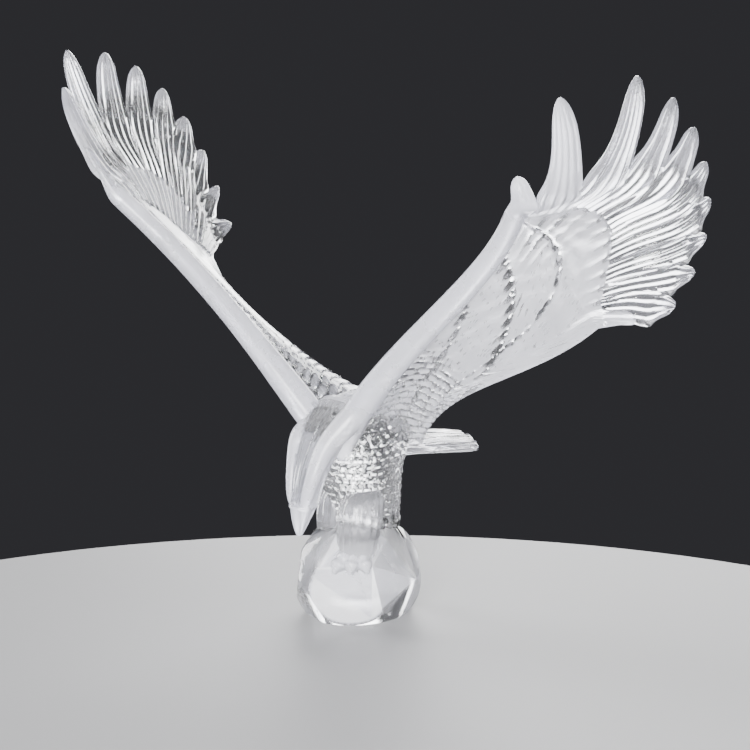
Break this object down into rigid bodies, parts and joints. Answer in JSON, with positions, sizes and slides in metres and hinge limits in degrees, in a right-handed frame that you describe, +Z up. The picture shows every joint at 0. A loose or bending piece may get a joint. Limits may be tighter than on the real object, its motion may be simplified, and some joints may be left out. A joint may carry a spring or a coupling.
{
  "type": "eagle figurine",
  "caption": "Clear glass eagle landing on a rounded rock, wings raised in a V with spread feathers, cast in one piece.",
  "frame": {"origin": "on the ground, under the middle of the rock", "axes": "+Z up; the bird heads along -Y, its left wing is on +X and its tail on +Y"},
  "size_m": [0.2624, 0.1229, 0.2243],
  "materials": {
    "clear_glass": "clear cast glass, polished on the edges and lightly frosted on the carved faces"
  },
  "bodies": {
    "root": {"eagle": "clear_glass"}
  },
  "joints": []
}
